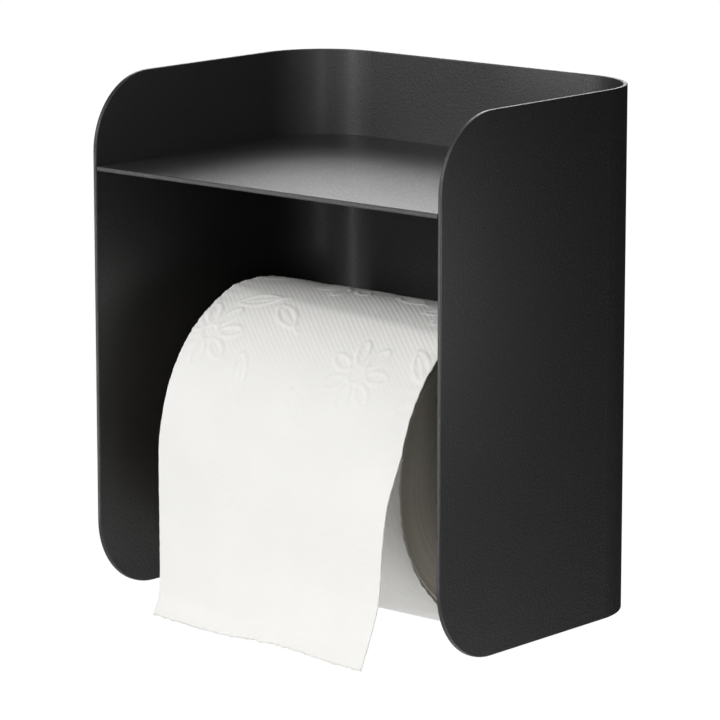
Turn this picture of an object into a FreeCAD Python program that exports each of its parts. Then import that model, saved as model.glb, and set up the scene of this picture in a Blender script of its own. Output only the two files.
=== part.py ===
import FreeCAD, Part
import Sketcher
import math
import os

# Wall-mounted toilet paper holder with a shelf, holding a paper roll on a sprung spindle.
# Millimetres.  The origin is midway between the two wall screw holes, on the wall face.
# +Y goes into the wall, +Z is up, and the open front faces -Y.

SIZES = {
    # bent steel housing
    "width": 138.0,
    "depth": 103.0,
    "height": 162.0,
    "wall": 1.35,
    "bend_radius": 24.5,          # outer radius of the two rear bends
    "corner_radius": 23.5,        # front corners of the side panels
    "rim_round": 0.35,            # cut edges, softened by the powder coat
    "hole_spacing": 60.0,
    "hole_radius": 2.6,
    "hole_height": 75.0,          # screw holes above the bottom edge
    # welded shelf
    "shelf_thickness": 1.5,
    "shelf_drop": 27.5,           # its top face below the housing's top edge
    "weld_relief": 0.5,           # extra radius at the shelf's rear corners
    # sockets welded inside the side panels
    "socket_depth": 6.0,
    "socket_bore": 6.0,
    "socket_wall": 2.6,
    "lead_in": 0.8,
    # sprung spindle
    "spindle_height": 56.2,       # its axis above the bottom edge
    "spindle_setback": 51.0,      # its axis in front of the wall face
    "spindle_radius": 12.0,
    "tube_wall": 0.8,
    "tube_reach": 18.0,           # mouth of the outer tube, past the middle
    "mouth_lip": 1.5,
    "foot_reach": 6.0,            # foot of the plunger, short of the middle
    "foot_length": 3.0,
    "foot_bore": 6.0,
    "flange_thickness": 1.5,
    "spigot_length": 8.0,
    "nub_taper": 1.2,
    "spring_radius": 8.6,         # to the middle of the wire
    "wire_radius": 0.45,
    "spring_turns": 10.0,
    # paper roll
    "roll_width": 96.0,
    "roll_radius": 44.6,
    "core_radius": 20.0,          # bore of the cardboard core
    "core_wall": 0.9,
    "wrap_thickness": 0.4,        # the loose outer layer and the hanging sheet
    "wrap_sag": 4.0,              # how far the loose layer hangs below the roll
    "sheet_drop": 78.0,           # end of the sheet below the wall holes
    "sheet_flare_left": 4.0,      # how far the end swings forward on the left
    "sheet_flare_right": 16.0,    # and on the right
    # fits
    "running_fit": 0.08,          # radial, a turning or sliding fit
    "press_gap": 0.03,            # radial, a pressed or glued fit
    "free_gap": 0.3,              # between pieces that only come close
    "flange_gap": 0.5,            # spindle flange to socket mouth
}

doc = FreeCAD.newDocument("holder")
sheet = doc.addObject("Spreadsheet::Sheet", "Sizes")
for row, (alias, value) in enumerate(SIZES.items(), start=1):
    sheet.set("A%d" % row, alias)
    sheet.set("B%d" % row, str(value))
    sheet.setAlias("B%d" % row, alias)
doc.recompute()

# Places that several pieces share, as expressions on the sheet.
INNER_HALF = "(Sizes.width / 2 - Sizes.wall)"
NUB_END = "(%s - Sizes.free_gap)" % INNER_HALF
SOCKET_MOUTH = "(%s - Sizes.socket_depth)" % INNER_HALF
FLANGE_FACE = "(%s - Sizes.flange_gap)" % SOCKET_MOUTH
TUBE_END = "(%s - Sizes.flange_thickness)" % FLANGE_FACE
SPIGOT_END = "(%s - Sizes.spigot_length)" % TUBE_END
NUB_RADIUS = "(Sizes.socket_bore - Sizes.running_fit)"
TUBE_BORE = "(Sizes.spindle_radius - Sizes.tube_wall)"
PLUNGER_RADIUS = "(%s - Sizes.tube_wall)" % TUBE_BORE
PLUNGER_BORE = "(%s - Sizes.tube_wall)" % PLUNGER_RADIUS
BOTTOM = "-Sizes.hole_height"
AXIS_Y = "-Sizes.spindle_setback"
SPINDLE_Z = "(Sizes.spindle_height - Sizes.hole_height)"
ROLL_Z = "(%s - Sizes.core_radius + Sizes.spindle_radius + Sizes.free_gap)" % SPINDLE_Z

ALONG_X = FreeCAD.Rotation(FreeCAD.Vector(0, 1, 0), 90)
PAST = 2.0                        # how far a cutting tool runs past a face
parts = []


def value(expression):
    """The number that an expression on the sheet gives."""
    return float(FreeCAD.Units.Quantity(sheet.evalExpression(expression)).Value)


def bind(item, **expressions):
    for prop, expression in expressions.items():
        item.setExpression(prop.replace("__", "."), expression)
    return item


def keep(item, label):
    """Make an object one of the finished pieces."""
    item.Label = label
    parts.append(item)
    return item


def new_body(name, z=BOTTOM):
    body = doc.addObject("PartDesign::Body", name)
    return bind(body, Placement__Base__z=z)


def new_sketch(body, name, role):
    plane = [item for item in body.Origin.OriginFeatures if item.Role == role][0]
    sketch = body.newObject("Sketcher::SketchObject", name)
    sketch.AttachmentSupport = (plane, "")
    sketch.MapMode = "FlatFace"
    return sketch


def place_point(sketch, geometry, point, across, along):
    """Hold one point of a sketch at two expressions from its origin."""
    for kind, expression in (("DistanceX", across), ("DistanceY", along)):
        size = value(expression)
        index = sketch.addConstraint(Sketcher.Constraint(kind, -1, 1, geometry, point, size))
        sketch.setExpression("Constraints[%d]" % index, expression)


def rectangle(sketch, left, low, right, high):
    x0, y0, x1, y1 = [value(e) for e in (left, low, right, high)]
    corners = [FreeCAD.Vector(*p) for p in ((x0, y0, 0), (x1, y0, 0), (x1, y1, 0), (x0, y1, 0))]
    for index in range(4):
        sketch.addGeometry(Part.LineSegment(corners[index], corners[(index + 1) % 4]))
    for index in range(4):
        sketch.addConstraint(Sketcher.Constraint("Coincident", index, 2, (index + 1) % 4, 1))
        kind = "Horizontal" if index % 2 == 0 else "Vertical"
        sketch.addConstraint(Sketcher.Constraint(kind, index))
    place_point(sketch, 0, 1, left, low)
    place_point(sketch, 2, 1, right, high)


def new_feature(body, kind, sketch):
    feature = body.newObject(kind, sketch.Name + "_" + kind.split("::")[1])
    feature.Profile = sketch
    doc.recompute()
    return feature


def pad(body, sketch, length):
    return bind(new_feature(body, "PartDesign::Pad", sketch), Length=length)


def cut_through(body, sketch):
    before = body.Shape.Volume
    pocket = new_feature(body, "PartDesign::Pocket", sketch)
    pocket.Type = "ThroughAll"
    pocket.Midplane = True
    doc.recompute()
    if body.Shape.Volume >= before:
        raise RuntimeError(sketch.Name + " cuts nothing")
    return pocket


def round_edges(body, name, radius, wanted):
    """Fillet the edges of the body's tip that pass the test."""
    tip = body.Tip
    names = ["Edge%d" % (n + 1) for n, edge in enumerate(tip.Shape.Edges) if wanted(edge)]
    fillet = body.newObject("PartDesign::Fillet", name)
    fillet.Base = (tip, names)
    bind(fillet, Radius=radius)
    doc.recompute()
    if not names or fillet.Shape.isNull():
        raise RuntimeError(name + " rounds nothing")
    return fillet


def runs_along(edge, axis):
    """True for a straight edge along one axis."""
    box = edge.BoundBox
    spans = {"X": box.XLength, "Y": box.YLength, "Z": box.ZLength}
    length = spans.pop(axis)
    return length > 0.1 and max(spans.values()) < 1e-4


def is_sharp(shape, edge):
    """True where the two faces of an edge meet at an angle."""
    middle = edge.valueAt((edge.FirstParameter + edge.LastParameter) / 2)
    normals = []
    for face in shape.ancestorsOfType(edge, Part.Face):
        u, v = face.Surface.parameter(middle)
        normals.append(face.normalAt(u, v))
    return len(normals) == 2 and abs(normals[0].dot(normals[1])) < 0.7


def soften(body, name):
    shape = body.Tip.Shape
    return round_edges(body, name, "Sizes.rim_round", lambda edge: is_sharp(shape, edge))


def rod(name, radius, start, end, z=SPINDLE_Z):
    """A cylinder along X between two places."""
    item = doc.addObject("Part::Cylinder", name)
    item.Placement.Rotation = ALONG_X
    bind(item, Radius=radius, Height="%s - (%s)" % (end, start))
    return bind(item, Placement__Base__x=start, Placement__Base__y=AXIS_Y, Placement__Base__z=z)


def taper(name, radius, end_radius, start, end):
    """A cone along X between two places on the spindle's axis."""
    item = doc.addObject("Part::Cone", name)
    item.Placement.Rotation = ALONG_X
    bind(item, Radius1=radius, Radius2=end_radius, Height="%s - (%s)" % (end, start))
    return bind(item, Placement__Base__x=start, Placement__Base__y=AXIS_Y,
                Placement__Base__z=SPINDLE_Z)


def join(name, *items):
    item = doc.addObject("Part::MultiFuse", name)
    item.Shapes = list(items)
    item.Refine = True
    return item


def cut(name, base, tool):
    item = doc.addObject("Part::Cut", name)
    item.Base = base
    item.Tool = tool
    return item


# Housing: one steel sheet bent to a U, with round front corners and two wall screw holes.
def make_housing():
    body = new_body("housing_body")
    outline = new_sketch(body, "outline", "XY_Plane")
    rectangle(outline, "-Sizes.width / 2", "-Sizes.depth", "Sizes.width / 2", "0")
    pad(body, outline, "Sizes.height")
    doc.recompute()
    hollow = new_sketch(body, "hollow", "XY_Plane")
    rectangle(hollow, "-" + INNER_HALF, "-Sizes.depth - %g" % PAST, INNER_HALF, "-Sizes.wall")
    cut_through(body, hollow)
    inner_back = lambda edge: (runs_along(edge, "Z")
                               and abs(edge.BoundBox.YMax + value("Sizes.wall")) < 0.01
                               and abs(abs(edge.BoundBox.XMax) - value(INNER_HALF)) < 0.01)
    round_edges(body, "inner_bends", "Sizes.bend_radius - Sizes.wall", inner_back)
    back = lambda edge: runs_along(edge, "Z") and abs(edge.BoundBox.YMax) < 0.01
    round_edges(body, "outer_bends", "Sizes.bend_radius", back)

    front = lambda edge: (runs_along(edge, "X")
                          and abs(edge.BoundBox.YMin + value("Sizes.depth")) < 0.01)
    round_edges(body, "front_corners", "Sizes.corner_radius", front)
    soften(body, "soft_rim")

    holes = new_sketch(body, "wall_holes", "XZ_Plane")
    for index, side in enumerate(("-", "")):
        across = side + "Sizes.hole_spacing / 2"
        centre = FreeCAD.Vector(value(across), value("Sizes.hole_height"), 0)
        circle = Part.Circle(centre, FreeCAD.Vector(0, 0, 1), value("Sizes.hole_radius"))
        holes.addGeometry(circle)
        place_point(holes, index, 3, across, "Sizes.hole_height")
        radius = holes.addConstraint(
            Sketcher.Constraint("Radius", index, value("Sizes.hole_radius")))
        holes.setExpression("Constraints[%d]" % radius, "Sizes.hole_radius")
    cut_through(body, holes)
    keep(body, "housing")


# Shelf: a flat steel plate that fits between the side panels and is welded along its edges.
def make_shelf():
    low = "Sizes.height - Sizes.shelf_drop - Sizes.shelf_thickness - Sizes.hole_height"
    body = new_body("shelf_body", low)
    outline = new_sketch(body, "plate", "XY_Plane")
    rectangle(outline, "-" + INNER_HALF, "-Sizes.depth", INNER_HALF, "-Sizes.wall")
    pad(body, outline, "Sizes.shelf_thickness")
    doc.recompute()
    rear = lambda edge: (runs_along(edge, "Z")
                         and abs(edge.BoundBox.YMax + value("Sizes.wall")) < 0.01)
    round_edges(body, "rear_corners",
                "Sizes.bend_radius - Sizes.wall + Sizes.weld_relief", rear)
    soften(body, "soft_edge")
    keep(body, "shelf")


# Sockets: turned steel cups welded inside the side panels, with a lead-in at the mouth.
def make_socket(side):
    sign = "-" if side == "left" else ""
    wall_face = sign + INNER_HALF
    mouth = sign + SOCKET_MOUTH
    ends = (wall_face, mouth) if side == "left" else (mouth, wall_face)
    ring = rod(side + "_socket_ring", "Sizes.socket_bore + Sizes.socket_wall", *ends)
    bore = rod(side + "_socket_bore", "Sizes.socket_bore", *ends)
    wide = "Sizes.socket_bore + Sizes.lead_in"
    if side == "left":
        lead = taper(side + "_lead_in", "Sizes.socket_bore", wide,
                     mouth + " - Sizes.lead_in", mouth)
    else:
        lead = taper(side + "_lead_in", wide, "Sizes.socket_bore",
                     mouth, mouth + " + Sizes.lead_in")
    hollow = join(side + "_socket_hollow", bore, lead)
    keep(cut(side + "_socket_cup", ring, hollow), side + "_socket")


# End plugs: moulded nylon, pressed into the tube ends, each with a nub that turns in a socket.
def make_end_plug(side, tube_bore):
    sign = "-" if side == "left" else ""
    marks = [sign + mark for mark in (SPIGOT_END, TUBE_END, FLANGE_FACE)]
    tip = "%s%s" % (sign, NUB_END)
    shoulder = "%s(%s - Sizes.nub_taper)" % (sign, NUB_END)
    slim = NUB_RADIUS + " - Sizes.nub_taper"
    order = (lambda a, b: (b, a)) if side == "left" else (lambda a, b: (a, b))
    spigot = rod(side + "_spigot", tube_bore + " - Sizes.press_gap", *order(marks[0], marks[1]))
    flange = rod(side + "_flange", "Sizes.spindle_radius", *order(marks[1], marks[2]))
    nub = rod(side + "_nub", NUB_RADIUS, *order(marks[2], shoulder))
    radii = (slim, NUB_RADIUS) if side == "left" else (NUB_RADIUS, slim)
    nose = taper(side + "_nose", radii[0], radii[1], *order(shoulder, tip))
    keep(join(side + "_plug", spigot, flange, nub, nose), side + "_end_plug")


# Spindle tube: drawn steel tube with its mouth rolled in to hold the plunger's foot.
def make_spindle_tube():
    start = "-" + TUBE_END
    mouth = "Sizes.tube_reach"
    outside = rod("tube_outside", "Sizes.spindle_radius", start, mouth)
    bore = rod("tube_bore", TUBE_BORE, start + " - %g" % PAST, mouth + " - Sizes.mouth_lip")
    lip = rod("tube_mouth", PLUNGER_RADIUS + " + Sizes.running_fit", "0", mouth + " + %g" % PAST)
    keep(cut("tube", outside, join("tube_hollow", bore, lip)), "spindle_tube")


# Plunger tube: slides in the spindle tube; its flared foot takes the spring.
def make_plunger_tube():
    foot = "-Sizes.foot_reach"
    body = rod("plunger_outside", PLUNGER_RADIUS, foot, TUBE_END)
    flare = rod("plunger_foot", TUBE_BORE + " - Sizes.running_fit", foot,
                foot + " + Sizes.foot_length")
    bore = rod("plunger_bore", PLUNGER_BORE, foot + " + Sizes.tube_wall", TUBE_END + " + %g" % PAST)
    eye = rod("plunger_eye", "Sizes.foot_bore", foot + " - %g" % PAST, "0")
    outside = join("plunger_solid", body, flare)
    keep(cut("plunger", outside, join("plunger_hollow", bore, eye)), "plunger_tube")


# Spring: steel wire coiled between the left plug's spigot and the plunger's foot.
def make_spring():
    body = doc.addObject("PartDesign::Body", "spring_body")
    body.Placement.Rotation = ALONG_X
    start = "-%s + Sizes.free_gap + Sizes.wire_radius" % SPIGOT_END
    end = "-Sizes.foot_reach - Sizes.free_gap - Sizes.wire_radius"
    bind(body, Placement__Base__x=start, Placement__Base__y=AXIS_Y, Placement__Base__z=SPINDLE_Z)
    wire = new_sketch(body, "wire", "XZ_Plane")
    centre = FreeCAD.Vector(value("Sizes.spring_radius"), 0, 0)
    wire.addGeometry(Part.Circle(centre, FreeCAD.Vector(0, 0, 1), value("Sizes.wire_radius")))
    place_point(wire, 0, 3, "Sizes.spring_radius", "0")
    radius = wire.addConstraint(Sketcher.Constraint("Radius", 0, value("Sizes.wire_radius")))
    wire.setExpression("Constraints[%d]" % radius, "Sizes.wire_radius")
    doc.recompute()
    coil = body.newObject("PartDesign::AdditiveHelix", "coil")
    coil.Profile = wire
    coil.ReferenceAxis = (wire, ["V_Axis"])
    coil.Mode = "height-turns-angle"
    length = "(%s) - (%s)" % (end, start)
    coil.Height = value(length)
    coil.Turns = value("Sizes.spring_turns")
    bind(coil, Height=length, Turns="Sizes.spring_turns")
    keep(body, "spindle_spring")


# Paper roll: a cardboard core and the wound paper on it, hanging on the spindle.
def make_roll():
    ends = ("-Sizes.roll_width / 2", "Sizes.roll_width / 2")
    core_outside = "Sizes.core_radius + Sizes.core_wall"
    tube = rod("core_outside", core_outside, *ends, z=ROLL_Z)
    bore = rod("core_bore", "Sizes.core_radius", "-Sizes.roll_width", "Sizes.roll_width", z=ROLL_Z)
    keep(cut("core", tube, bore), "roll_core")
    paper = rod("paper_outside", "Sizes.roll_radius", *ends, z=ROLL_Z)
    eye = rod("paper_bore", core_outside + " + Sizes.press_gap",
              "-Sizes.roll_width", "Sizes.roll_width", z=ROLL_Z)
    keep(cut("paper", paper, eye), "roll_paper")


# Loose sheet: the slack outer layer of paper round the roll and the end that hangs in front.
def make_loose_sheet():
    half = value("Sizes.roll_width") / 2
    y, z = value(AXIS_Y), value(ROLL_Z)
    inside = value("Sizes.roll_radius") + value("Sizes.free_gap")
    outside = inside + value("Sizes.wrap_thickness")
    sag = value("Sizes.wrap_sag")

    def loop(radius):
        centre = FreeCAD.Vector(-half, y, z)
        front, back = (centre + FreeCAD.Vector(0, side * radius, 0) for side in (-1, 1))
        top = centre + FreeCAD.Vector(0, 0, radius)
        low = centre - FreeCAD.Vector(0, 0, radius + sag)
        ellipse = Part.Ellipse(low, back, centre)
        lower = Part.ArcOfEllipse(ellipse, -math.pi / 2, math.pi / 2)
        return Part.Wire([Part.Arc(back, top, front).toShape(), lower.toShape()])

    rings = Part.Face([loop(outside), loop(inside)])
    rings.validate()
    wrap = rings.extrude(FreeCAD.Vector(2 * half, 0, 0))

    def profile(x, flare):
        start = z + PAST
        drop = -value("Sizes.sheet_drop")
        points = [(y - outside, start), (y - inside, start),
                  (y - inside - flare, drop), (y - outside - flare, drop)]
        corners = [FreeCAD.Vector(x, *point) for point in points]
        return Part.makePolygon(corners + corners[:1])

    hanging = Part.makeLoft([profile(-half, value("Sizes.sheet_flare_left")),
                             profile(half, value("Sizes.sheet_flare_right"))], True, True)
    item = doc.addObject("Part::Feature", "sheet_solid")
    item.Shape = wrap.fuse(hanging).removeSplitter()
    keep(item, "loose_sheet")


make_housing()
make_shelf()
for name in ("left", "right"):
    make_socket(name)
make_spindle_tube()
make_plunger_tube()
make_end_plug("left", TUBE_BORE)
make_end_plug("right", PLUNGER_BORE)
make_spring()
make_roll()
make_loose_sheet()
doc.recompute()

for item in doc.Objects:
    if "Invalid" in item.State or "Error" in item.State:
        raise RuntimeError("%s failed: %s" % (item.Name, item.State))
for item in parts:
    if item.Shape.isNull() or not item.Shape.isValid():
        raise RuntimeError(item.Label + " has no valid shape")

os.makedirs("parts", exist_ok=True)
for item in parts:
    item.Shape.exportStep("parts/%s.step" % item.Label)
    box = item.Shape.BoundBox
    print("%-16s %d solid  %9.1f mm3  x %7.2f %7.2f  y %7.2f %7.2f  z %7.2f %7.2f" % (
        item.Label, len(item.Shape.Solids), item.Shape.Volume, box.XMin, box.XMax,
        box.YMin, box.YMax, box.ZMin, box.ZMax))
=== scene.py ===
import math
import bpy
import numpy as np
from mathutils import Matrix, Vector


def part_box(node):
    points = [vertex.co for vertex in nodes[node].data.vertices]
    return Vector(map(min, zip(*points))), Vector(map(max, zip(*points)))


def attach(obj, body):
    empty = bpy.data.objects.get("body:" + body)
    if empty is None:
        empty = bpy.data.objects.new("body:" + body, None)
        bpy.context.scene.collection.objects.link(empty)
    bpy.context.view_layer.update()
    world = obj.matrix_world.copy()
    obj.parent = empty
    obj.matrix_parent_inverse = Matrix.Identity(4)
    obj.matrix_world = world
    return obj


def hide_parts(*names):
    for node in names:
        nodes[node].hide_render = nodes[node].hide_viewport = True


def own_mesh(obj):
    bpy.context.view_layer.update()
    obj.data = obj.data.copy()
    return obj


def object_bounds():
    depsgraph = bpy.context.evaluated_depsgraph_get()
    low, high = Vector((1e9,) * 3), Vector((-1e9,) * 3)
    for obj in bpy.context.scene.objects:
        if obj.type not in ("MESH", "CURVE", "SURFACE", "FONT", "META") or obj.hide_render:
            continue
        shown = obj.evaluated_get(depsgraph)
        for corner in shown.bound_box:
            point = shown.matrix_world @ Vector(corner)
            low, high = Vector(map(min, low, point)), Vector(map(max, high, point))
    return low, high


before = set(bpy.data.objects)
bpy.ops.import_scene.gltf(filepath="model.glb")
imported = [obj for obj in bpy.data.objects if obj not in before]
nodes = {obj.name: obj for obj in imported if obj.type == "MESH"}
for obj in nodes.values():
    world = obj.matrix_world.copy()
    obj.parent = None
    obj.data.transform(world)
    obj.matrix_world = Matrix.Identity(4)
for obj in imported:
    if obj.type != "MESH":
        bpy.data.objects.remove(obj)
cad_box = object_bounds()

# ---------------------------------------------------------------------------------------------
# Camera: a long lens, so that the upright edges stay nearly parallel, standing to the right of
# the holder's open front and a little above it.
CAMERA_PLACE = (0.8033, -0.9880, 0.2509)
CAMERA_TURN = 40.83               # degrees to the right of straight in front
CAMERA_TILT = 11.48               # degrees looking down
camera_data = bpy.data.cameras.new("camera")
camera_data.lens = 205.5
camera_data.sensor_width = 36.0
camera_data.clip_end = 60.0
camera = bpy.data.objects.new("camera", camera_data)
camera.location = CAMERA_PLACE
camera.rotation_euler = (math.radians(90 - CAMERA_TILT), 0, math.radians(CAMERA_TURN))
bpy.context.scene.collection.objects.link(camera)
bpy.context.scene.camera = camera
bpy.context.scene.view_settings.view_transform = "Standard"


# ---------------------------------------------------------------------------------------------
# Housing, shelf and sockets: mild steel sheet, laser cut, bent and spot welded, then powder
# coated as one piece.  The coat is matt black and levels out into a fine, even pebble.
def linear(sheet_hex):
    """The linear colour of an sRGB hex value."""
    parts = [int(sheet_hex[i:i + 2], 16) / 255 for i in (1, 3, 5)]
    return tuple(c / 12.92 if c <= 0.04045 else ((c + 0.055) / 1.055) ** 2.4 for c in parts) + (1,)


def add_node(tree, kind, settings=None, links=None):
    """Adds one node, sets its properties and sockets, and links its inputs."""
    node = tree.nodes.new(kind)
    for name, value in (settings or {}).items():
        if isinstance(name, str) and hasattr(node, name):
            setattr(node, name, value)
        else:
            node.inputs[name].default_value = value
    for name, output in (links or {}).items():
        tree.links.new(output, node.inputs[name])
    return node


def new_material(name):
    """An empty node material, and the tree to build it in."""
    material = bpy.data.materials.new(name)
    material.use_nodes = True
    material.node_tree.nodes.clear()
    return material, material.node_tree


def finish_with(node_name, material):
    """Gives a carried-over node its material."""
    mesh = nodes[node_name].data
    mesh.materials.clear()
    mesh.materials.append(material)


MM = 0.001
COAT_BLACK = "#121213"
COAT_DARK = "#0D0D0E"
COAT_PEBBLE = 0.75 * MM           # really about 0.3 mm; drawn coarser so that it shows
COAT_DEPTH = 0.13 * MM            # how deep the pebbles are
COAT_FLOW = 14 * MM               # slow change of film thickness over a panel

powder_coat, tree = new_material("powder_coat_sprayed_and_baked")
# Sprayed polyester powder melts into small rounded pebbles: a matt black whose broad highlight
# breaks up into grain.  The coat layer is left smooth and adds a weaker, narrower highlight.
place = add_node(tree, "ShaderNodeTexCoord")
pebble = add_node(tree, "ShaderNodeTexNoise",
                  {"Scale": 1 / COAT_PEBBLE, "Detail": 2.0, "Roughness": 0.55},
                  {"Vector": place.outputs["Object"]})
flow = add_node(tree, "ShaderNodeTexNoise", {"Scale": 1 / COAT_FLOW, "Detail": 3.0},
                {"Vector": place.outputs["Object"]})
tone = add_node(tree, "ShaderNodeMix", {"data_type": "RGBA", 6: linear(COAT_DARK),
                                        7: linear(COAT_BLACK)}, {0: flow.outputs["Fac"]})
gloss = add_node(tree, "ShaderNodeMapRange", {"From Min": 0.3, "From Max": 0.7, "To Min": 0.5,
                                              "To Max": 0.68}, {"Value": pebble.outputs["Fac"]})
relief = add_node(tree, "ShaderNodeBump", {"Strength": 1.0, "Distance": COAT_DEPTH},
                  {"Height": pebble.outputs["Fac"]})
coat = add_node(tree, "ShaderNodeBsdfPrincipled",
                {"IOR": 1.5, "Specular IOR Level": 0.8, "Coat Weight": 0.35,
                 "Coat Roughness": 0.28},
                {"Base Color": tone.outputs[2], "Roughness": gloss.outputs["Result"],
                 "Normal": relief.outputs["Normal"]})
add_node(tree, "ShaderNodeOutputMaterial", None, {"Surface": coat.outputs["BSDF"]})
for steel in ("housing", "shelf", "left_socket", "right_socket"):
    finish_with(steel, powder_coat)

# ---------------------------------------------------------------------------------------------
# Spindle tubes: thin drawn steel tube, bright zinc plated.  Drawing leaves faint lines along
# the tube, and the plating leaves it shiny but not a mirror.
DRAW_LINE = 0.5 * MM              # coarser than real draw lines, so that they show
plated, tree = new_material("zinc_plated_drawn_tube")
place = add_node(tree, "ShaderNodeTexCoord")
stretch = add_node(tree, "ShaderNodeMapping", {"Scale": (0.02, 1.0, 1.0)},
                   {"Vector": place.outputs["Object"]})
lines = add_node(tree, "ShaderNodeTexNoise", {"Scale": 1 / DRAW_LINE, "Detail": 3.0},
                 {"Vector": stretch.outputs["Vector"]})
sheen = add_node(tree, "ShaderNodeMapRange", {"From Min": 0.3, "From Max": 0.7, "To Min": 0.18,
                                              "To Max": 0.34}, {"Value": lines.outputs["Fac"]})
shade = add_node(tree, "ShaderNodeMix", {"data_type": "RGBA", 6: linear("#B4B6B9"),
                                         7: linear("#D6D8DA")}, {0: lines.outputs["Fac"]})
zinc = add_node(tree, "ShaderNodeBsdfPrincipled", {"Metallic": 1.0},
                {"Base Color": shade.outputs[2], "Roughness": sheen.outputs["Result"]})
add_node(tree, "ShaderNodeOutputMaterial", None, {"Surface": zinc.outputs["BSDF"]})
finish_with("spindle_tube", plated)
finish_with("plunger_tube", plated)

# ---------------------------------------------------------------------------------------------
# Spring: cold-drawn music wire, coiled and oiled; darker and softer than the plating.  In the
# holder it sits against the left plug and is pressed shorter as the plunger goes in; here it keeps
# one length.
OIL_FILM = 2 * MM
wire, tree = new_material("spring_wire_cold_drawn")
place = add_node(tree, "ShaderNodeTexCoord")
oil = add_node(tree, "ShaderNodeTexNoise", {"Scale": 1 / OIL_FILM, "Detail": 2.0},
               {"Vector": place.outputs["Object"]})
dull = add_node(tree, "ShaderNodeMapRange", {"To Min": 0.3, "To Max": 0.5},
                {"Value": oil.outputs["Fac"]})
steel_wire = add_node(tree, "ShaderNodeBsdfPrincipled",
                      {"Metallic": 1.0, "Base Color": linear("#8C8E91")},
                      {"Roughness": dull.outputs["Result"]})
add_node(tree, "ShaderNodeOutputMaterial", None, {"Surface": steel_wire.outputs["BSDF"]})
finish_with("spindle_spring", wire)

coiled_spring = bpy.data.objects.new("coiled_spring", nodes["spindle_spring"].data.copy())
bpy.context.scene.collection.objects.link(coiled_spring)
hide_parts("spindle_spring")
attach(coiled_spring, "spindle")
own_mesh(coiled_spring)

# ---------------------------------------------------------------------------------------------
# End plugs: black nylon, injection moulded and pressed into the tubes.  A fine spark texture in
# the mould leaves them satin.
NYLON_GRAIN = 0.6 * MM            # coarser than a real spark texture, so that it shows
GRAIN_DEPTH = 0.03 * MM
nylon, tree = new_material("moulded_black_nylon")
place = add_node(tree, "ShaderNodeTexCoord")
spark = add_node(tree, "ShaderNodeTexNoise", {"Scale": 1 / NYLON_GRAIN, "Detail": 3.0},
                 {"Vector": place.outputs["Object"]})
grain = add_node(tree, "ShaderNodeBump", {"Strength": 0.6, "Distance": GRAIN_DEPTH},
                 {"Height": spark.outputs["Fac"]})
satin = add_node(tree, "ShaderNodeMapRange", {"To Min": 0.42, "To Max": 0.58},
                 {"Value": spark.outputs["Fac"]})
plug = add_node(tree, "ShaderNodeBsdfPrincipled", {"Base Color": linear("#1E1E1F"), "IOR": 1.53},
                {"Roughness": satin.outputs["Result"], "Normal": grain.outputs["Normal"]})
add_node(tree, "ShaderNodeOutputMaterial", None, {"Surface": plug.outputs["BSDF"]})
finish_with("left_end_plug", nylon)
finish_with("right_end_plug", nylon)

# ---------------------------------------------------------------------------------------------
# Core: grey recycled board, two plies wound in a spiral and glued, cut off square.  The joint
# between the turns of the strip shows as a thin dark line.
core_low, core_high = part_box("roll_core")
roll_axis = Vector([(a + b) / 2 for a, b in zip(core_low, core_high)])
PLY_WIDTH = 62 * MM               # width of the strip that the core is wound from
FIBRE_CLUMP = 1.2 * MM
FIBRE_DEPTH = 0.05 * MM
board, tree = new_material("spiral_wound_grey_board")
place = add_node(tree, "ShaderNodeTexCoord")
centred = add_node(tree, "ShaderNodeMapping", {"Location": (0, -roll_axis.y, -roll_axis.z)},
                   {"Vector": place.outputs["Object"]})
axes = add_node(tree, "ShaderNodeSeparateXYZ", None, {"Vector": centred.outputs["Vector"]})
turn = add_node(tree, "ShaderNodeMath", {"operation": "ARCTAN2"},
                {0: axes.outputs["Y"], 1: axes.outputs["Z"]})
turns = add_node(tree, "ShaderNodeMath", {"operation": "DIVIDE", 1: 2 * math.pi},
                 {0: turn.outputs["Value"]})
along = add_node(tree, "ShaderNodeMath", {"operation": "MULTIPLY_ADD", 1: 1 / PLY_WIDTH},
                 {0: axes.outputs["X"], 2: turns.outputs["Value"]})
strip = add_node(tree, "ShaderNodeMath", {"operation": "FRACT"}, {0: along.outputs["Value"]})
seam = add_node(tree, "ShaderNodeMapRange", {"From Min": 0.0, "From Max": 0.02, "To Min": 1.0,
                                             "To Max": 0.0}, {"Value": strip.outputs["Value"]})
fibres = add_node(tree, "ShaderNodeTexNoise", {"Scale": 1 / FIBRE_CLUMP, "Detail": 4.0},
                  {"Vector": centred.outputs["Vector"]})
pulp = add_node(tree, "ShaderNodeMix", {"data_type": "RGBA", 6: linear("#96836A"),
                                        7: linear("#B6A68C")}, {0: fibres.outputs["Fac"]})
joint = add_node(tree, "ShaderNodeMix", {"data_type": "RGBA", 7: linear("#6E5E49")},
                 {0: seam.outputs["Result"], 6: pulp.outputs[2]})
nap = add_node(tree, "ShaderNodeBump", {"Strength": 0.5, "Distance": FIBRE_DEPTH},
               {"Height": fibres.outputs["Fac"]})
card = add_node(tree, "ShaderNodeBsdfPrincipled", {"Roughness": 0.9, "IOR": 1.45},
                {"Base Color": joint.outputs[2], "Normal": nap.outputs["Normal"]})
add_node(tree, "ShaderNodeOutputMaterial", None, {"Surface": card.outputs["BSDF"]})
finish_with("roll_core", board)


# ---------------------------------------------------------------------------------------------
# Wound roll: about a hundred turns of two-ply tissue on the core.  At the ends the turns show
# as fine rings that don't quite line up.
CREPE = 0.7 * MM                  # coarser than real creping, so that it shows
CREPE_DEPTH = 0.06 * MM
CLOUD = 18 * MM                   # thicker and thinner patches of the web


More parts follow.
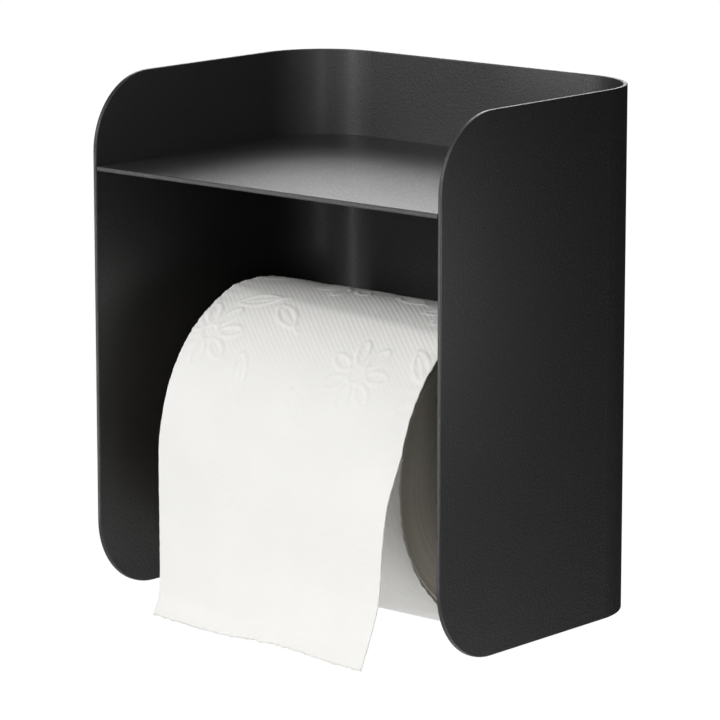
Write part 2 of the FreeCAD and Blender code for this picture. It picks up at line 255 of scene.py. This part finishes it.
def tissue_material(name, light, shadow):
    """Soft white tissue: creped fibres scatter the light, so it has no highlight at all."""
    material, tree = new_material(name)
    place = add_node(tree, "ShaderNodeTexCoord")
    crepe = add_node(tree, "ShaderNodeTexNoise",
                     {"Scale": 1 / CREPE, "Detail": 4.0, "Roughness": 0.6},
                     {"Vector": place.outputs["Object"]})
    cloud = add_node(tree, "ShaderNodeTexNoise", {"Scale": 1 / CLOUD, "Detail": 2.0},
                     {"Vector": place.outputs["Object"]})
    white = add_node(tree, "ShaderNodeMix", {"data_type": "RGBA", 6: linear(shadow),
                                             7: linear(light)}, {0: cloud.outputs["Fac"]})
    nap = add_node(tree, "ShaderNodeBump", {"Strength": 0.5, "Distance": CREPE_DEPTH},
                   {"Height": crepe.outputs["Fac"]})
    paper = add_node(tree, "ShaderNodeBsdfPrincipled",
                     {"Roughness": 0.95, "IOR": 1.3, "Subsurface Weight": 0.15,
                      "Subsurface Radius": (2 * MM, 2 * MM, 1.8 * MM), "Subsurface Scale": 1.0},
                     {"Base Color": white.outputs[2], "Normal": nap.outputs["Normal"]})
    add_node(tree, "ShaderNodeOutputMaterial", None, {"Surface": paper.outputs["BSDF"]})
    return material


def new_piece(name, points, faces, material):
    """A smooth mesh piece from arrays of points (metres) and four-cornered faces."""
    mesh = bpy.data.meshes.new(name)
    mesh.from_pydata(points.tolist(), [], faces.tolist())
    mesh.polygons.foreach_set("use_smooth", [True] * len(mesh.polygons))
    mesh.materials.append(material)
    mesh.update()
    piece = bpy.data.objects.new(name, mesh)
    bpy.context.scene.collection.objects.link(piece)
    return piece


def grid_faces(rows, columns, closed_rows=False, closed_columns=False):
    """Faces of a grid of points numbered row by row, joined up where it closes."""
    row = np.arange(rows if closed_rows else rows - 1)
    column = np.arange(columns if closed_columns else columns - 1)
    r, c = np.meshgrid(row, column, indexing="ij")
    r1, c1 = (r + 1) % rows, (c + 1) % columns
    corners = [r * columns + c, r * columns + c1, r1 * columns + c1, r1 * columns + c]
    return np.stack(corners, axis=-1).reshape(-1, 4)


paper_low, paper_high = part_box("roll_paper")
HALF_WIDTH = paper_high[0]
ROLL_RADIUS = (paper_high[1] - paper_low[1]) / 2
CORE_OUTSIDE = (core_high[1] - core_low[1]) / 2 + 0.03 * MM
RING_STEP = 0.34 * MM             # a few turns of tissue; single turns are too fine to show
RING_SLIP = 0.16 * MM             # how far a turn stands back from the cut end
RING_WAVE = 0.12 * MM             # how far the cut end waves in and out
RING_POINTS = 180
CLOSE_FROM, CLOSE_OVER = 5.9, 0.38     # radians: where one turn runs into the next
SOFT_CORNER = 0.4 * MM
RIM_INSET = 0.25 * MM             # from the paper's full width to the rim of the cut end
END_INSET = 0.2 * MM              # and to its turns, before they slip, wave and dish
DISH = 1.3 * MM                   # the cut end stands back a little inside its outermost turns
DISH_WIDE = 2.4 * MM              # how soon it does, in from the rim
# Painted shade: the tissue is coloured duller and warmer than the sheet, partly for light caught
# between the cut edges of the turns, partly for the shade that the roll's ends sit in.
roll_tissue_painted_shade = tissue_material("wound_two_ply_tissue_painted_shade", "#CBC5B9", "#BBB4A6")

rng = np.random.default_rng(7)
angles = np.linspace(0, 2 * math.pi, RING_POINTS, endpoint=False)
radii = np.arange(CORE_OUTSIDE, ROLL_RADIUS - SOFT_CORNER, RING_STEP)
slips = rng.uniform(0, 1, len(radii) + 8)
loops = []
for end in (-1, 1):
    face = []
    back = DISH * (1 - np.exp(-(ROLL_RADIUS - radii) / DISH_WIDE))
    for index, radius in enumerate(radii):
        step = index + 4 + angles / (2 * math.pi)         # the turns are one spiral
        low = np.floor(step).astype(int)
        mixed = slips[low] * (1 - (step - low)) + slips[low + 1] * (step - low)
        close = np.clip((angles - CLOSE_FROM) / CLOSE_OVER, 0, 1)
        mixed = mixed * (1 - close) + slips[index + 4] * close
        wave = RING_WAVE * np.sin(2 * angles + radius / (9 * MM) + end)
        x = end * (HALF_WIDTH - END_INSET - back[index] - RING_SLIP * mixed + wave)
        face.append(np.stack([x, radius * np.cos(angles), radius * np.sin(angles)], axis=-1))
    loops.append(face)
corner = []
for turn_angle in np.linspace(0, math.pi / 2, 5):
    radius = ROLL_RADIUS - SOFT_CORNER + SOFT_CORNER * math.sin(turn_angle)
    inset = RIM_INSET + SOFT_CORNER * (1 - math.cos(turn_angle))
    corner.append((radius, inset))
rings = list(loops[0])
for radius, inset in corner:
    x = np.full_like(angles, -HALF_WIDTH + inset)
    rings.append(np.stack([x, radius * np.cos(angles), radius * np.sin(angles)], axis=-1))
for radius, inset in reversed(corner):
    x = np.full_like(angles, HALF_WIDTH - inset)
    rings.append(np.stack([x, radius * np.cos(angles), radius * np.sin(angles)], axis=-1))
rings += list(reversed(loops[1]))
points = np.concatenate(rings) + np.array([0, roll_axis.y, roll_axis.z])
faces = grid_faces(len(rings), len(angles), closed_rows=True, closed_columns=True)
wound_roll = new_piece("wound_roll", points, faces, roll_tissue_painted_shade)
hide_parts("roll_paper")
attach(wound_roll, "roll")

# ---------------------------------------------------------------------------------------------
# Loose sheet: the slack outer layer of two-ply tissue, once round the roll, and the torn-off
# end that hangs in front.  It is embossed with fine slanting ribs and plain daisies.
SHEET_THICK = 0.26 * MM
SHEET_SLACK = 0.35 * MM           # how far its middle lies off the wound roll
SHEET_GROWTH = 0.55 * MM          # more at the outer end, which lies over the inner one
SAG_BELOW = 4.0 * MM              # slack that gathers under the roll
LIFT_ABOVE = 1.0 * MM
INNER_END = 13                    # degrees above the front where the layer starts
LEAVES_ROLL = 14                  # degrees above the front where the hanging end leaves it
COLUMN_STEP = 0.45 * MM
FINE_STEP = 0.6 * MM
COARSE_STEP = 2.0 * MM
FINE_FROM = 140                   # degrees above the front, over the top, where fine rows start
HANG_LENGTH = 60 * MM             # over which the hanging end's waves grow to their full size
# Each side edge of the hanging end, (y, z) in mm: the left one hangs nearly straight, the right
# one has swung forward.
LEFT_EDGE = [(-96.9, -24), (-97.2, -34), (-97.1, -52), (-97.2, -70), (-98.2, -75),
             (-100.4, -78.7)]
RIGHT_EDGE = [(-98.4, -22), (-101.8, -30), (-103.9, -42), (-105.4, -57), (-109.0, -67),
              (-113.4, -76.4)]

columns = np.linspace(-HALF_WIDTH, HALF_WIDTH, int(2 * HALF_WIDTH / COLUMN_STEP) + 1)
across = (columns + HALF_WIDTH) / (2 * HALF_WIDTH)


def round_the_roll(degrees):
    """(y, z) of the layer's middle, for angles above the front that go down, round and over."""
    angle = np.radians(degrees)
    share = (INNER_END - degrees) / (INNER_END + 360 - LEAVES_ROLL)
    radius = ROLL_RADIUS + SHEET_SLACK + SHEET_GROWTH * share
    sag = SAG_BELOW * np.abs(np.sin(angle)) ** 5
    height = radius + np.where(np.sin(angle) < 0, sag, LIFT_ABOVE)
    return np.stack([roll_axis.y - radius * np.cos(angle),
                     roll_axis.z + height * np.sin(angle)], axis=-1)


def evenly(line, step):
    """The same line with its points evenly spaced, about step apart."""
    length = np.concatenate([[0], np.cumsum(np.linalg.norm(np.diff(line, axis=0), axis=1))])
    even = np.linspace(0, length[-1], int(length[-1] / step) + 1)
    return np.stack([np.interp(even, length, line[:, k]) for k in (0, 1)], axis=-1)


def smooth_through(points):
    """A smooth line through a few points; the first and last only give its direction."""
    line = []
    for a, b, c, d in zip(points, points[1:], points[2:], points[3:]):
        t = np.linspace(0, 1, 40, endpoint=False)[:, None]
        line.append(0.5 * (2 * b + (c - a) * t + (2 * a - 5 * b + 4 * c - d) * t ** 2
                           + (3 * b - a - 3 * c + d) * t ** 3))
    return np.vstack(line + [points[-2:-1]])


under = evenly(round_the_roll(np.linspace(INNER_END, FINE_FROM - 360, 300)), COARSE_STEP)
over = evenly(round_the_roll(np.linspace(FINE_FROM - 360, LEAVES_ROLL - 360, 300)), FINE_STEP)
hanging = []
for edge in (LEFT_EDGE, RIGHT_EDGE):
    ahead = 2 * np.array(edge[-1]) - np.array(edge[-2])
    points = np.vstack([over[-12], over[-1], np.array(edge) * MM, ahead * MM])
    hanging.append(smooth_through(points))
rows_down = int(HANG_LENGTH / FINE_STEP)
hanging = [evenly(line, FINE_STEP / 4) for line in hanging]
hanging = [line[np.linspace(0, len(line) - 1, rows_down).astype(int)][1:] for line in hanging]
left = np.vstack([under[:-1], over, hanging[0]])
right = np.vstack([under[:-1], over, hanging[1]])
down = np.concatenate([[0], np.cumsum(np.linalg.norm(np.diff(left, axis=0), axis=1))])
sheet_length = down[-1]
rows = len(left)
# 0 where the sheet leaves the roll, growing to 1 near the torn edge
free = np.clip((down - down[len(under) + len(over) - 2]) / HANG_LENGTH, 0, 1)

# how far the hanging end is swung forward, and its gentle waves, in mm
share = across[None, :] ** 1.1
middle = np.empty((rows, len(columns), 3))
middle[..., 0] = columns
middle[..., 1:] = left[:, None] * (1 - share[..., None]) + right[:, None] * share[..., None]
wave = 0.5 * np.sin(2 * math.pi * (1.3 * across + 0.05))
wave += 0.2 * np.sin(2 * math.pi * (2.6 * across + 0.3))
middle[..., 1] -= MM * wave * free[:, None] ** 2 * np.sin(math.pi * across) ** 0.5
dip = 0.8 * np.sin(2 * math.pi * (across - 0.45)) * np.sin(math.pi * across)
middle[..., 2] += MM * dip * free[:, None] ** 4


def normals_of(grid):
    """Outward unit normals of a grid of points."""
    normal = np.cross(np.gradient(grid, axis=0), np.gradient(grid, axis=1))
    return normal / np.linalg.norm(normal, axis=-1, keepdims=True)


# Embossing.  Fine ribs slant down to the right; they are strong over the top, where the roll
# was handled least, and pressed flat in front.  Plain daisies and leaves have raised outlines.
RIB_PITCH = 2.15 * MM             # measured along the width
RIB_SLANT = 1.2                   # across, for each step down the sheet
RIB_HEIGHT = 0.30 * MM
OUTLINE_HEIGHT = 0.48 * MM
OUTLINE_WIDTH = 0.55 * MM
FLAT_UP_TO = 66 * MM              # up from the torn edge, pressed flat
FULL_AFTER = 30 * MM              # and from there to full height
PETALS = 7
EYE_RADIUS = 3.0 * MM
PETAL_LONG, PETAL_WIDE = 4.1 * MM, 2.0 * MM
PETAL_OUT = 8.0 * MM              # from the flower's middle to the petal's
LEAF_LONG, LEAF_WIDE = 7.0 * MM, 2.6 * MM
FIGURE_REACH = 14 * MM
# each figure: (kind, mm across from the middle, mm up from the torn edge, turned by degrees)
FIGURES = [("daisy", -41, 92, 10), ("daisy", 22, 86, 0), ("leaf", -32, 108, 20),
           ("leaf", -17, 103, -35), ("leaf", 38, 71, 60), ("leaf", 44, 92, -50),
           ("leaf", 4, 72, -55), ("leaf", -22, 80, -75), ("daisy", -10, 47, 25),
           ("leaf", -30, 52, 50), ("leaf", 10, 55, -40), ("daisy", 33, 33, 5),
           ("daisy", -38, 21, -15), ("leaf", 12, 24, 65), ("leaf", -14, 18, -50),
           ("daisy", -12, 131, 15), ("leaf", 14, 126, -20), ("daisy", 38, 122, 0),
           ("leaf", -40, 130, 50)]
a = np.broadcast_to(columns, (rows, len(columns)))
b = np.broadcast_to((sheet_length - down)[:, None], a.shape)            # up from the torn edge


def outline(distance):
    """The height, from 0 to 1, of a rounded raised line."""
    return np.exp(-(distance / OUTLINE_WIDTH) ** 2)


def oval(along, side, long, wide, point):
    """A raised line round an oval; point is 1 for a petal's round tip and more for a leaf's."""
    size = np.sqrt((along / long) ** 2 + (side / wide) ** 2) + 1e-9
    half = wide * np.clip(1 - (along / long) ** 2, 0, 1) ** (0.5 * point)
    return np.maximum(outline(np.abs(side) - half) * (np.abs(along) < long),
                      outline((size - 1) * long) * (np.abs(along) > 0.9 * long))


figures = np.zeros_like(a)
for kind, middle_a, middle_b, turned in FIGURES:
    away_a, away_b = a - middle_a * MM, b - middle_b * MM
    near = np.hypot(away_a, away_b)
    if kind == "leaf":
        cosine, sine = math.cos(math.radians(turned)), math.sin(math.radians(turned))
        along, side = away_a * cosine + away_b * sine, away_b * cosine - away_a * sine
        midrib = 0.7 * outline(side * 1.3) * (np.abs(along - 3 * MM) < 8 * MM)
        figure = np.maximum(oval(along, side, LEAF_LONG, LEAF_WIDE, 1.7), midrib)
    else:
        figure = outline(near - EYE_RADIUS)
        for petal in range(PETALS):
            lean = math.radians(turned + 360 * petal / PETALS)
            cosine, sine = math.cos(lean), math.sin(lean)
            along, side = away_a * cosine + away_b * sine, away_b * cosine - away_a * sine
            petal_line = oval(along - PETAL_OUT, side, PETAL_LONG, PETAL_WIDE, 1.0)
            figure = np.maximum(figure, petal_line)
    figures = np.maximum(figures, figure * (near < FIGURE_REACH))
strength = np.clip((b - FLAT_UP_TO) / FULL_AFTER, 0, 1)
phase = (a + RIB_SLANT * b) / RIB_PITCH
ribs = (0.5 + 0.5 * np.cos(2 * math.pi * phase)) * (1 - figures)
relief = RIB_HEIGHT * (0.06 + 0.94 * strength ** 1.5) * ribs
relief += OUTLINE_HEIGHT * (0.14 + 0.86 * strength) * figures

# The tear line between two sheets lies over the top.  The sheet folds there a little, into a
# low crest with a row of fine slits.
TEAR_LINE = 108.5 * MM            # up from the torn edge
TEAR_WANDER = 0.8 * MM            # how far it strays from straight
TEAR_SLANT = 0.11                 # how far it drops, for each step across to the right
TEAR_PITCH = 3.2 * MM
CREST_HEIGHT = 0.9 * MM
CREST_WIDE = 6.5 * MM
CREST_ROUND = 0.8 * MM
SLIT_DEPTH = 0.06 * MM
SLIT_REACH = 0.5 * MM
away = b - TEAR_LINE - TEAR_WANDER * np.sin(a / (19 * MM)) + TEAR_SLANT * a
slits = 0.5 + 0.5 * np.cos(2 * math.pi * a / TEAR_PITCH)
relief += CREST_HEIGHT * np.exp(-np.sqrt(away ** 2 + CREST_ROUND ** 2) / CREST_WIDE)
relief -= SLIT_DEPTH * slits * np.exp(-(away / SLIT_REACH) ** 2)

# The cut side edges are puckered where the ribs and figures draw the paper in, the right one
# more than the left.
PUCKER_PITCH = 5.3 * MM
PUCKER_REACH = 3.5 * MM           # in from the edge
PUCKER_RIGHT, PUCKER_LEFT = 0.22 * MM, 0.12 * MM
pucker = np.sin(2 * math.pi * b / PUCKER_PITCH + 1.3 * np.sin(b / (4.4 * MM)) + 2 * np.sign(a))
near_edge = np.exp(-(HALF_WIDTH - np.abs(a)) / PUCKER_REACH) * (0.25 + 0.75 * strength)
relief += np.where(a > 0, PUCKER_RIGHT, PUCKER_LEFT) * near_edge * (1 + pucker)

# The torn edge is a little ragged, and the row of points above it less so.
RAGGED = 0.35 * MM
RAGGED_ABOVE = 0.12 * MM
rough = rng.uniform(-1, 1, len(columns))
rough = np.convolve(rough, [0.25, 0.5, 0.25], "same")
middle[-1, :, 2] += RAGGED * rough
middle[-2, :, 2] += RAGGED_ABOVE * rough

normal = normals_of(middle)
middle = middle + normal * relief[..., None]
normal = normals_of(middle)
outer = middle + normal * SHEET_THICK / 2
inner = middle - normal * SHEET_THICK / 2
loop = np.concatenate([inner, outer[:, ::-1]], axis=1)
count = loop.shape[1]
faces = grid_faces(rows, count, closed_columns=True)
j = np.arange(len(columns) - 1)
ends = [np.stack([k * count + j, k * count + j + 1, k * count + count - 2 - j,
                  k * count + count - 1 - j], axis=-1) for k in (0, rows - 1)]
ends[1] = ends[1][:, ::-1]
sheet_tissue = tissue_material("embossed_two_ply_tissue", "#F0EFEC", "#EAE9E5")
tissue_sheet = new_piece("tissue_sheet", loop.reshape(-1, 3), np.concatenate([faces] + ends),
                         sheet_tissue)
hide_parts("loose_sheet")
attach(tissue_sheet, "housing")

# ---------------------------------------------------------------------------------------------
# Studio: a very wide white floor that curves up into white walls and a ceiling, far enough below
# the wall-hung holder to leave room for a look at its underside, a dim room, and soft boxes.
FLOOR_BELOW = 2.2
FLOOR_REACH = 6.0
SWEEP_RADIUS = 2.0
WALL_TOP = 5.5                    # above the floor
MIDDLE_GAP = 0.0001               # the rings start this far from the middle
profile = [(MIDDLE_GAP, 0), (FLOOR_REACH - SWEEP_RADIUS, 0)]
profile += [(FLOOR_REACH - SWEEP_RADIUS * (1 - math.sin(t)), SWEEP_RADIUS * (1 - math.cos(t)))
            for t in np.linspace(0.15, math.pi / 2, 10)]
profile += [(FLOOR_REACH, WALL_TOP), (MIDDLE_GAP, WALL_TOP)]
SWEEP_SIDES = 64
around = np.linspace(0, 2 * math.pi, SWEEP_SIDES, endpoint=False)
sweep_rings = [np.stack([r * np.cos(around), r * np.sin(around), np.full_like(around, z)], axis=-1)
               for r, z in profile]
sweep_points = np.concatenate(sweep_rings)
sweep_points[:, 2] += cad_box[0][2] - FLOOR_BELOW
floor_white, tree = new_material("studio_floor_white_card")
# Evenly lit white card: it glows a little so that it stays clean white at any distance.
glow = add_node(tree, "ShaderNodeEmission", {"Color": (1, 1, 1, 1), "Strength": 1.02})
add_node(tree, "ShaderNodeOutputMaterial", None, {"Surface": glow.outputs["Emission"]})
floor = new_piece("floor", sweep_points,
                  grid_faces(len(profile), SWEEP_SIDES, closed_columns=True), floor_white)
for ray in ("diffuse", "glossy", "transmission", "shadow"):
    setattr(floor, "visible_" + ray, False)          # the soft boxes alone light the holder

world = bpy.data.worlds.new("dim_room")
world.use_nodes = True
world.node_tree.nodes["Background"].inputs["Color"].default_value = (1, 1, 1, 1)
world.node_tree.nodes["Background"].inputs["Strength"].default_value = 0.01
bpy.context.scene.world = world


def soft_box(name, turn, height, size, brightness, away=2.2, aim=(0, 0, 0)):
    """A square soft light facing the aim point, from an angle to the right of the front."""
    lamp = bpy.data.lights.new(name, "AREA")
    lamp.size = size
    lamp.energy = brightness * math.pi * size ** 2
    box = bpy.data.objects.new(name, lamp)
    level, rise = math.radians(turn), math.radians(height)
    direction = Vector((math.sin(level) * math.cos(rise), -math.cos(level) * math.cos(rise),
                        math.sin(rise)))
    box.location = Vector(aim) + direction * away
    box.rotation_euler = direction.to_track_quat("Z", "Y").to_euler()
    box.visible_camera = False
    bpy.context.scene.collection.objects.link(box)


soft_box("key", turn=-12, height=25, size=0.9, brightness=8.8)
soft_box("key_high", turn=-12, height=45, size=0.9, brightness=3.8)
soft_box("key_left", turn=-36, height=25, size=0.9, brightness=1.8)
soft_box("front", turn=-8, height=8, size=0.5, brightness=7.4)
soft_box("front_low", turn=-9, height=-9, size=0.4, brightness=5.2)
soft_box("left_low", turn=-40, height=-10, size=0.4, brightness=10.0)
soft_box("right", turn=43, height=3, size=0.45, brightness=6.5)
soft_box("far_right", turn=85, height=10, size=1.1, brightness=0.3)
soft_box("behind", turn=221, height=23, size=0.9, brightness=3.2)
soft_box("behind_high", turn=221, height=35, size=1.2, brightness=2.0)
soft_box("below", turn=0, height=-89, size=1.6, brightness=0.58, away=0.6)
# small ones close by: two right of the side panel, so that it shades off towards the back and
# the top, and one over the shelf for the inside of the left panel
soft_box("near_right", turn=90, height=0, size=0.07, brightness=3.4, away=0.08,
         aim=(0.069, -0.107, 0.03))
soft_box("near_low", turn=90, height=-51, size=0.2, brightness=2.2, away=0.21,
         aim=(0.069, -0.04, -0.06))
soft_box("near_top", turn=90, height=30, size=0.08, brightness=2.4, away=0.14,
         aim=(-0.069, -0.07, 0.075))

# ---------------------------------------------------------------------------------------------
# Bring the scene's transforms up to date.
bpy.context.view_layer.update()
